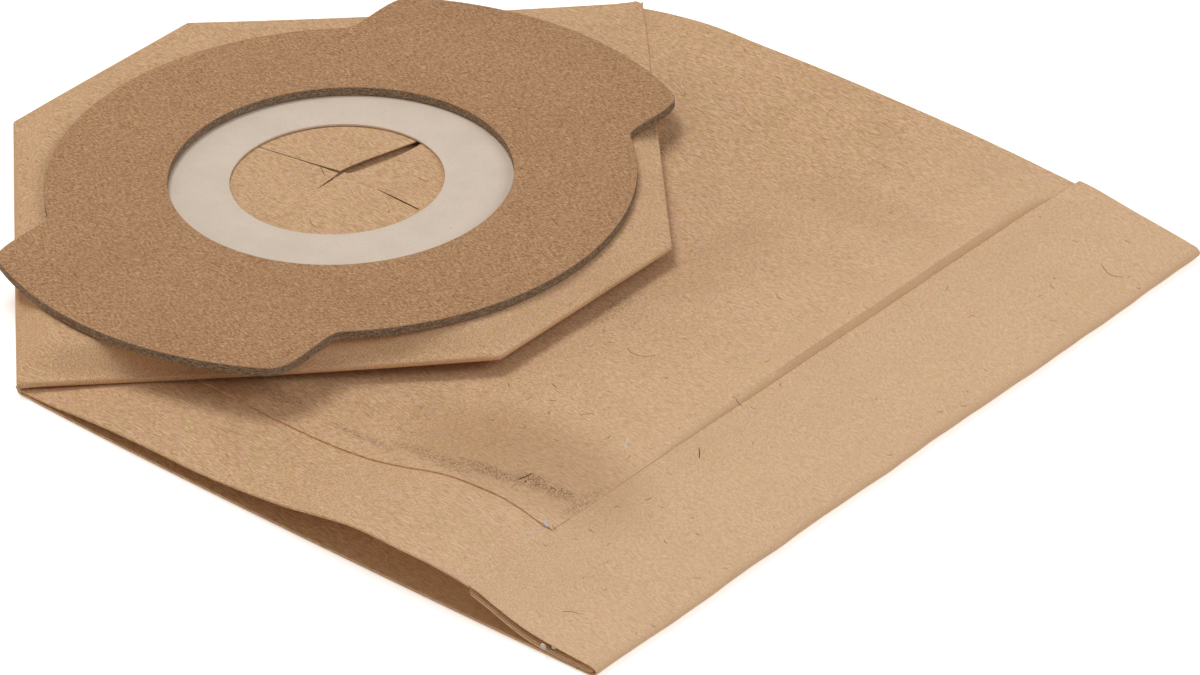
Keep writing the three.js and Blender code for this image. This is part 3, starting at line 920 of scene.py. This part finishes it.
def punchedTree(skin, core):  # a flat plate with a round hole and two wider lobes
    tree = bpy.data.node_groups.new("punchedPlate", "GeometryNodeTree")
    face = tree.interface
    names = (
        "Bore", "Radius", "Lobe Radius", "Lobe Half", "Lobe Turn", "Near Turn", "Step Turn", "Thickness",
    )
    for name in names:
        face.new_socket(name=name, in_out="INPUT", socket_type="NodeSocketFloat")
    face.new_socket(name="Geometry", in_out="OUTPUT", socket_type="NodeSocketGeometry")
    given = tree.nodes.new("NodeGroupInput")
    sockets = [Wire(tree, given.outputs[name]) for name in names]
    bore, radius, lobe, half, turn, nearTurn, stepTurn, thickness = sockets
    grid = Wire.add(tree, "GeometryNodeMeshGrid", None, {
        "Size X": 1.0, "Size Y": 1.0,
        "Vertices X": collar["around"] + 1, "Vertices Y": 4 * collar["radial"] + 1,
    })
    split = {"Vector": Wire.add(tree, "GeometryNodeInputPosition")}
    angle = (Wire.add(tree, "ShaderNodeSeparateXYZ", None, split, 0) + 0.5) * (2 * math.pi)
    v = (Wire.add(tree, "ShaderNodeSeparateXYZ", None, split, 1) + 0.5) * 4.0
    turned = turn + nearTurn * angle.maths("GREATER_THAN", angle, math.pi)
    around = angle.maths("FLOORED_MODULO", angle - turned + math.pi / 2, math.pi)
    away = angle.maths("MINIMUM", around, math.pi - around)
    share = (away - half) / stepTurn
    share = share.maths("SMOOTH_MIN", share, 1.0, collar["innerCorner"])
    share = share.maths("SMOOTH_MAX", share, 0.0, collar["outerCorner"])
    edge = lobe - (lobe - radius) * share

    def grown(start):  # from 0 to 1 as the section's station passes start to start + 1
        return Wire.add(tree, "ShaderNodeMath", {"operation": "ADD", "use_clamp": True}, {0: v, 1: -start})

    upper = grown(1.0) - grown(3.0)
    height = grown(0.0) - grown(2.0)
    far = bore + (edge - bore) * upper
    spot = Wire.add(tree, "ShaderNodeCombineXYZ", None, {
        "X": far * angle.maths("COSINE", angle), "Y": far * angle.maths("SINE", angle),
        "Z": thickness * height,
    })
    kept = {"data_type": "FLOAT", "domain": "POINT"}
    layered = {"Geometry": grid, "Name": "layer", "Value": height}
    marked = Wire.add(tree, "GeometryNodeStoreNamedAttribute", kept, layered)
    shaped = Wire.add(tree, "GeometryNodeSetPosition", None, {"Geometry": marked, "Position": spot})
    closed = Wire.add(tree, "GeometryNodeMergeByDistance", None, {"Geometry": shaped, "Distance": 0.001})
    upward = upwardPart(tree)
    upright = upward.maths("ABSOLUTE", upward)
    real = Wire.add(tree, "GeometryNodeRealizeInstances", None, {"Geometry": closed})
    faced = Wire.add(tree, "GeometryNodeSetMaterial", None, {"Geometry": real, "Material": skin})
    wall = Wire.add(tree, "FunctionNodeCompare", {"operation": "LESS_THAN"}, {"A": upright, "B": 0.5})
    chosen = {"Geometry": faced, "Selection": wall, "Material": core}
    Wire.add(tree, "GeometryNodeSetMaterial", None, chosen).into("NodeGroupOutput", "Geometry")
    return tree


def givenValues(made, tree, values):  # a tree's inputs, set by the identifiers of its sockets
    modifier = made.modifiers.new("shape", "NODES")
    modifier.node_group = tree
    for item in tree.interface.items_tree:
        if item.item_type == "SOCKET" and item.in_out == "INPUT" and item.name in values:
            modifier[item.identifier] = values[item.name]


def makePlate(name, size, tree, lift):
    made = asObject(name, bpy.data.meshes.new(name))
    givenValues(made, tree, {
        "Bore": size["bore"], "Radius": size["radius"], "Lobe Radius": size["lobe"],
        "Lobe Half": collar["lobeHalf"], "Lobe Turn": collar["lobeTurn"], "Near Turn": collar["nearTurn"],
        "Step Turn": collar["stepTurn"], "Thickness": size["thickness"],
    })
    made = settled(made, name)
    mesh = made.data
    co = np.empty(len(mesh.vertices) * 3)
    mesh.vertices.foreach_get("co", co)
    co = co.reshape(-1, 3) + (*size["shift"], lift)
    cosP, sinP = math.cos(-collar["pitch"]), math.sin(-collar["pitch"])
    cosL, sinL = math.cos(-collar["lean"]), math.sin(-collar["lean"])
    turnedX = co[:, 0] * cosP + co[:, 2] * sinP
    turnedZ = -co[:, 0] * sinP + co[:, 2] * cosP
    leanY = co[:, 1] * cosL - turnedZ * sinL
    leanZ = co[:, 1] * sinL + turnedZ * cosL
    x, y = collar["place"]
    placed = np.stack([turnedX + x, leanY + y, leanZ + collar["seat"]], 1)
    mesh.vertices.foreach_set("co", inFrame(placed).ravel())
    bevel = made.modifiers.new("edge", "BEVEL")
    bevel.width = size["edge"] * 0.001
    bevel.segments = 2
    bevel.limit_method = "ANGLE"
    bevel.angle_limit = math.radians(60)
    made = settled(made, name)
    made.data.set_sharp_from_angle(angle=math.radians(40))
    return made


liner = {
    "base": colour(185, 140, 99),
    "dark": colour(132, 90, 56),
    "light": colour(226, 184, 142),
    "speck": colour(70, 52, 38),
}


def linerMaterial():
    made, tree = material("boardLiner")
    place = Wire.add(tree, "ShaderNodeTexCoord", output="Object")
    curly = swirled(tree, place, 4.0, 1.2, 4.0)
    grain = cloud(tree, place, 0.8, 2.0, 4.0)
    weave = (fibres(tree, curly, 20, 1.2, 0.19, 4.0) + fibres(tree, curly, 105, 1.2, 0.19, 9.0)) * 0.5
    shade = mixed(tree, weave.step(0.36, 0.64), liner["dark"], liner["light"])
    shade = mixed(tree, 0.85, liner["base"], shade)
    shade = mixed(tree, grain.step(0.3, 0.7) * 0.3, shade, liner["dark"])
    patches = cloud(tree, place, 20.0, 7.0)
    shade = mixed(tree, patches.step(0.3, 0.75) * 0.12, shade, liner["dark"])
    for size, seed, low in ((0.5, 13.0, 0.72), (0.9, 17.0, 0.745)):
        dots = cloud(tree, place, size, seed, 1.0).step(low, low + 0.03)
        shade = mixed(tree, dots * 0.8, shade, liner["speck"])
    pale = cloud(tree, place, 0.5, 23.0, 1.0).step(0.7, 0.75)
    shade = mixed(tree, pale * 0.55, shade, liner["light"])
    lumps = grain * 0.00007 + weave * 0.00008
    finished(tree, shade, weave * 0.12 + 0.8, lumps, strength=0.6, specular=0.25)
    return made


core = {
    "base": colour(158, 136, 114),
    "dark": colour(100, 80, 62),
    "light": colour(200, 182, 162),
    "liner": colour(184, 144, 108),
}


def coreMaterial():
    made, tree = material("boardCore")
    place = Wire.add(tree, "ShaderNodeTexCoord", output="Object")
    layer = Wire.add(tree, "ShaderNodeAttribute", {"attribute_name": "layer"}, None, 2)
    strands = Wire.add(tree, "ShaderNodeMapping", None, {"Vector": place, "Scale": (700, 700, 5200)})
    streaks = {"Vector": strands, "Scale": 1.0, "Detail": 3.0, "Roughness": 0.65}
    plies = Wire.add(tree, "ShaderNodeTexNoise", None, streaks)
    crumbs = cloud(tree, place, 0.35, 5.0, 2.0)
    shade = mixed(tree, plies.step(0.34, 0.66), core["dark"], core["base"])
    shade = mixed(tree, crumbs.step(0.56, 0.68) * 0.7, shade, core["light"])
    shade = mixed(tree, (1.0 - crumbs.step(0.3, 0.44)) * 0.6, shade, core["dark"])
    split = (layer - 0.52).step(0.0, 0.02) * (1.0 - (layer - 0.55).step(0.0, 0.02))
    shade = mixed(tree, split * 0.55, shade, core["dark"])
    shade = mixed(tree, layer.step(0.9, 0.94) * 0.8, shade, core["liner"])
    lumps = plies * 0.00025 + crumbs * 0.00015
    finished(tree, shade, 0.95, lumps, strength=0.8, specular=0.15)
    return made


membrane = {
    "base": colour(227, 210, 193),
    "dark": colour(206, 190, 172),
    "speck": colour(150, 132, 112),
}


def membraneMaterial():
    made, tree = material("sealMembrane")
    place = Wire.add(tree, "ShaderNodeTexCoord", output="Object")
    soft = cloud(tree, place, 9.0, 2.0)
    fine = cloud(tree, place, 0.5, 9.0, 3.0)
    shade = mixed(tree, soft.step(0.3, 0.7) * 0.35, membrane["base"], membrane["dark"])
    shade = mixed(tree, fine.step(0.35, 0.7) * 0.4, shade, membrane["dark"])
    dots = cloud(tree, place, 0.8, 15.0, 1.0).step(0.77, 0.8)
    shade = mixed(tree, dots * 0.6, shade, membrane["speck"])
    lumps = fine * 0.00003 + soft * 0.0002
    finished(tree, shade, fine * 0.1 + 0.6, lumps, strength=0.5, specular=0.35)
    return made


loose = {
    "paperDensity": 6500.0,
    "boardDensity": 3500.0,
    "length": 1.8,
    "thickness": 0.12,
    "bend": 0.22,
    "smallest": (0.3, 0.2, 0.6),
    "largest": (1.2, 1.6, 1.1),
    "facing": 0.8,
    "seed": 7,
    "markSides": 5,
    "dark": colour(128, 90, 54),
    "mark": colour(88, 58, 34),
    "stain": colour(52, 42, 36),
    "pale": colour(226, 214, 200),
    "glue": colour(214, 205, 196),
    # thickness and the points that a fibre passes, in millimetres of the bag
    "darkMarks": [
        (0.26, [(99.7, 82.6), (100.8, 82.3), (102.1, 81.6)]),
        (0.22, [(90.3, 77.2), (91.0, 76.6), (91.7, 76.2)]),
        (0.16, [(115.2, 75.8), (116.2, 77.2), (117.4, 78.1)]),
        (0.2, [(103.6, 105.6), (106.5, 104.2), (109.6, 104.5), (112.0, 106.7)]),
        (0.22, [(139.9, 103.0), (141.4, 102.9), (142.7, 103.4)]),
        (0.3, [(145.4, 84.3), (146.8, 82.9), (147.7, 81.8)]),
        (0.3, [(159.6, 65.3), (160.2, 65.6)]),
        (0.25, [(120.6, 99.8), (121.4, 100.6)]),
        (0.18, [(159.8, 19.5), (161.4, 21.2), (163.8, 22.3)]),
        (0.2, [(165.5, 214.0), (169.6, 212.5), (172.5, 214.5)]),
        (0.2, [(-7.2, 113.0), (-5.4, 111.7), (-2.7, 109.9)]),
        (0.16, [(9.0, 92.0), (11.0, 90.8), (13.1, 90.2)]),
        (0.24, [(15.9, 124.6), (17.8, 124.3), (19.2, 124.7)]),
    ],
    "stainsAndShade": [(0.4, [(122.5, 45.3), (122.7, 46.7), (123.2, 49.9)])],
    "paleMarks": [
        (0.4, [(130.8, 75.6), (132.1, 73.0), (133.3, 71.4)]), (0.3, [(131.3, 70.7), (132.0, 72.9)]),
        (0.3, [(132.3, 75.3), (132.5, 73.3)]), (0.25, [(133.3, 70.3), (133.2, 72.9)]),
        (0.25, [(153.3, 80.4), (154.3, 80.3)]), (0.22, [(140.6, 222.2), (142.0, 221.4)]),
        (0.25, [(120.0, 10.6), (121.4, 10.9)]),
    ],
    "glueThread": [(0.35, [(136.8, 30.7), (137.8, 30.2), (139.0, 30.7), (139.8, 32.9), (139.4, 35.3)])],
    # centre x, y, z and radius of a blob of set glue
    "glueBlobs": [
        (163.8, 8.6, 2.6, 0.7), (166.2, 9.6, 3.2, 0.6), (139.0, 36.9, None, 0.5), (139.9, 36.0, None, 0.7),
    ],
}


def looseTree(lookMaterial):  # short bent fibres strewn over the upward faces of a mesh
    tree = bpy.data.node_groups.new("looseFibres", "GeometryNodeTree")
    face = tree.interface
    face.new_socket(name="Geometry", in_out="INPUT", socket_type="NodeSocketGeometry")
    names = {
        "Density": "NodeSocketFloat", "Length": "NodeSocketFloat", "Thickness": "NodeSocketFloat",
        "Seed": "NodeSocketInt",
    }
    for name, kind in names.items():
        face.new_socket(name=name, in_out="INPUT", socket_type=kind)
    face.new_socket(name="Geometry", in_out="OUTPUT", socket_type="NodeSocketGeometry")
    given = tree.nodes.new("NodeGroupInput")
    base = Wire(tree, given.outputs["Geometry"])
    density, length, thickness, seed = (Wire(tree, given.outputs[name]) for name in names)
    lookUp = {"A": upwardPart(tree), "B": loose["facing"]}
    facing = Wire.add(tree, "FunctionNodeCompare", {"operation": "GREATER_THAN"}, lookUp)
    strewn = tree.nodes.new("GeometryNodeDistributePointsOnFaces")
    for name, value in {"Mesh": base, "Selection": facing, "Density": density, "Seed": seed}.items():
        tree.links.new(value.socket, strewn.inputs[name])
    half = length * 0.5
    bend = length * loose["bend"]
    start = Wire.add(tree, "ShaderNodeCombineXYZ", None, {"X": 0.0 - half})
    top = Wire.add(tree, "ShaderNodeCombineXYZ", None, {"Y": bend})
    end = Wire.add(tree, "ShaderNodeCombineXYZ", None, {"X": half})
    arc = Wire.add(tree, "GeometryNodeCurveQuadraticBezier", None, {
        "Resolution": 5, "Start": start, "Middle": top, "End": end,
    })
    profile = {"Resolution": 4, "Radius": thickness * 0.5}
    section = Wire.add(tree, "GeometryNodeCurvePrimitiveCircle", None, profile)
    strand = Wire.add(tree, "GeometryNodeCurveToMesh", None, {
        "Curve": arc, "Profile Curve": section, "Fill Caps": True,
    })
    anyTurn = {2: 0.0, 3: 2 * math.pi, 8: seed}
    turn = Wire.add(tree, "FunctionNodeRandomValue", {"data_type": "FLOAT"}, anyTurn, 1)
    spin = Wire.add(tree, "ShaderNodeCombineXYZ", None, {"Z": turn})
    spun = Wire.add(tree, "FunctionNodeEulerToRotation", None, {"Euler": spin})
    aligned = Wire(tree, strewn.outputs["Rotation"])
    placed = Wire.add(tree, "FunctionNodeRotateRotation", {"rotation_space": "LOCAL"}, {
        "Rotation": aligned, "Rotate By": spun,
    })
    size = Wire.add(tree, "FunctionNodeRandomValue", {"data_type": "FLOAT_VECTOR"}, {
        0: loose["smallest"], 1: loose["largest"], 8: seed + 1.0,
    }, 0)
    copies = Wire.add(tree, "GeometryNodeInstanceOnPoints", None, {
        "Points": Wire(tree, strewn.outputs["Points"]), "Instance": strand,
        "Rotation": placed, "Scale": size,
    })
    real = Wire.add(tree, "GeometryNodeRealizeInstances", None, {"Geometry": copies})
    dressed = Wire.add(tree, "GeometryNodeSetMaterial", None, {"Geometry": real, "Material": lookMaterial})
    dressed.into("NodeGroupOutput", "Geometry")
    return tree


def strewFibres(name, carrier, tree, density):
    made = asObject(name, carrier.data.copy())
    givenValues(made, tree, {
        "Density": density, "Length": loose["length"] * 0.001, "Thickness": loose["thickness"] * 0.001,
        "Seed": loose["seed"],
    })
    return settled(made, name)


def plainMaterial(name, tone, rough, specular):
    made, tree = material(name)
    place = Wire.add(tree, "ShaderNodeTexCoord", output="Object")
    uneven = cloud(tree, place, 0.7, 3.0, 2.0)
    shade = mixed(tree, uneven.step(0.35, 0.65) * 0.3, tone, kraft["dark"])
    finished(tree, shade, rough, uneven * 0.00005, 0.4, specular)
    return made


def routeAt(route, part, stations):  # one coordinate at stations along a mark
    values = [point[part] for point in route]
    if len(route) > 2:
        return through(range(len(route)), values, stations)
    return np.interp(stations, (0, 1), values)


def surfaceHeight(x, y, cover):
    return cover.ray_cast(Vector((x, y, 0.1)), Vector((0, 0, -1)))[0].z


def layMarks(name, marks, cover):  # bent tubes through points, laid on the surface below them
    sides = loose["markSides"]
    joined = bmesh.new()
    for thickness, route in marks:
        stations = np.linspace(0, len(route) - 1, 4 * (len(route) - 1) + 1)
        xs, ys = routeAt(route, 0, stations), routeAt(route, 1, stations)
        last = len(xs) - 1
        rings = []
        for k, (x, y) in enumerate(inFrame([(a, b, 0) for a, b in zip(xs, ys)])[:, :2]):
            height = surfaceHeight(x, y, cover)
            before, after = max(k - 1, 0), min(k + 1, last)
            side = Vector((ys[before] - ys[after], xs[after] - xs[before], 0)).normalized()
            taper = 0.35 + 0.65 * math.sin(math.pi * (0.1 + 0.8 * k / last))
            radius = thickness * 0.0005 * taper
            ring = []
            for turn in range(sides):
                angle = 2 * math.pi * turn / sides
                offset = side * math.cos(angle) * radius + Vector((0, 0, 0.6 * math.sin(angle) * radius))
                ring.append(joined.verts.new(Vector((x, y, height)) + offset))
            rings.append(ring)
        for a, b in zip(rings, rings[1:]):
            for turn in range(sides):
                after = (turn + 1) % sides
                joined.faces.new((a[turn], a[after], b[after], b[turn]))
        joined.faces.new(rings[0][::-1])
        joined.faces.new(rings[-1])
    bmesh.ops.recalc_face_normals(joined, faces=joined.faces)
    mesh = bpy.data.meshes.new(name)
    joined.to_mesh(mesh)
    joined.free()
    return asObject(name, mesh)


def addBlobs(made, cover):  # lumps of set glue
    joined = bmesh.new()
    joined.from_mesh(made.data)
    for k, (x, y, z, radius) in enumerate(loose["glueBlobs"]):
        centre = Vector(inFrame([(x, y, z or 0)])[0])
        if z is None:
            centre.z = surfaceHeight(centre.x, centre.y, cover)
        blob = bmesh.ops.create_icosphere(joined, subdivisions=3, radius=radius * 0.001)
        for vertex in blob["verts"]:
            lump = 1 + 0.5 * noise.noise(vertex.co * 1400 + Vector((k * 7.0, 0, 0)))
            vertex.co = centre + Vector((vertex.co.x * 1.15, vertex.co.y * 0.8, vertex.co.z)) * lump
    joined.to_mesh(made.data)
    joined.free()
    made.data.shade_smooth()


bag = makeBag()
bag.data.materials.clear()
bag.data.materials.append(kraftMaterial())
finishPiece(bag, "paper_bag")
print("bag: folded,", len(bag.data.polygons), "faces")

boardTree = punchedTree(linerMaterial(), coreMaterial())
board = makePlate("collarPlate", plate, boardTree, sealRing["thickness"] + 2 * collar["gap"])
finishPiece(board, "collar_plate")
print("collar plate:", len(board.data.polygons), "faces")

ringSkin = membraneMaterial()
ring = makePlate("sealRing", sealRing, punchedTree(ringSkin, ringSkin), collar["gap"])
finishPiece(ring, "seal_ring")
print("seal ring:", len(ring.data.polygons), "faces")

fibreTree = looseTree(plainMaterial("looseFibre", loose["dark"], 0.8, 0.2))
for name, carrier, density, slot in (
    ("paperFibres", bag, loose["paperDensity"], "kraft_paper"),
    ("boardFibres", board, loose["boardDensity"], "lined_board"),
):
    strewn = strewFibres(name, carrier, fibreTree, density)
    finishPiece(strewn)
    print(name + ":", len(strewn.data.polygons), "faces")

# The plate tree leaves its faces looking inwards, so they are turned once the fibres are laid.
for made in (board, ring):
    made.data.flip_normals()

places = [vertex.co for vertex in bag.data.vertices]
cover = BVHTree.FromPolygons(places, [face.vertices for face in bag.data.polygons])
for name, marks, tone, rough, specular in (
    ("darkMarks", "darkMarks", "mark", 0.8, 0.2), ("stainMark", "stainsAndShade", "stain", 0.9, 0.1),
    ("paleMarks", "paleMarks", "pale", 0.7, 0.3), ("setGlue", "glueThread", "glue", 0.35, 0.5),
):
    laid = layMarks(name, loose[marks], cover)
    if name == "setGlue":
        addBlobs(laid, cover)
    laid.data.materials.append(plainMaterial(name, loose[tone], rough, specular))
    finishPiece(laid)
print("marks: loose fibres, flecks and glue laid")
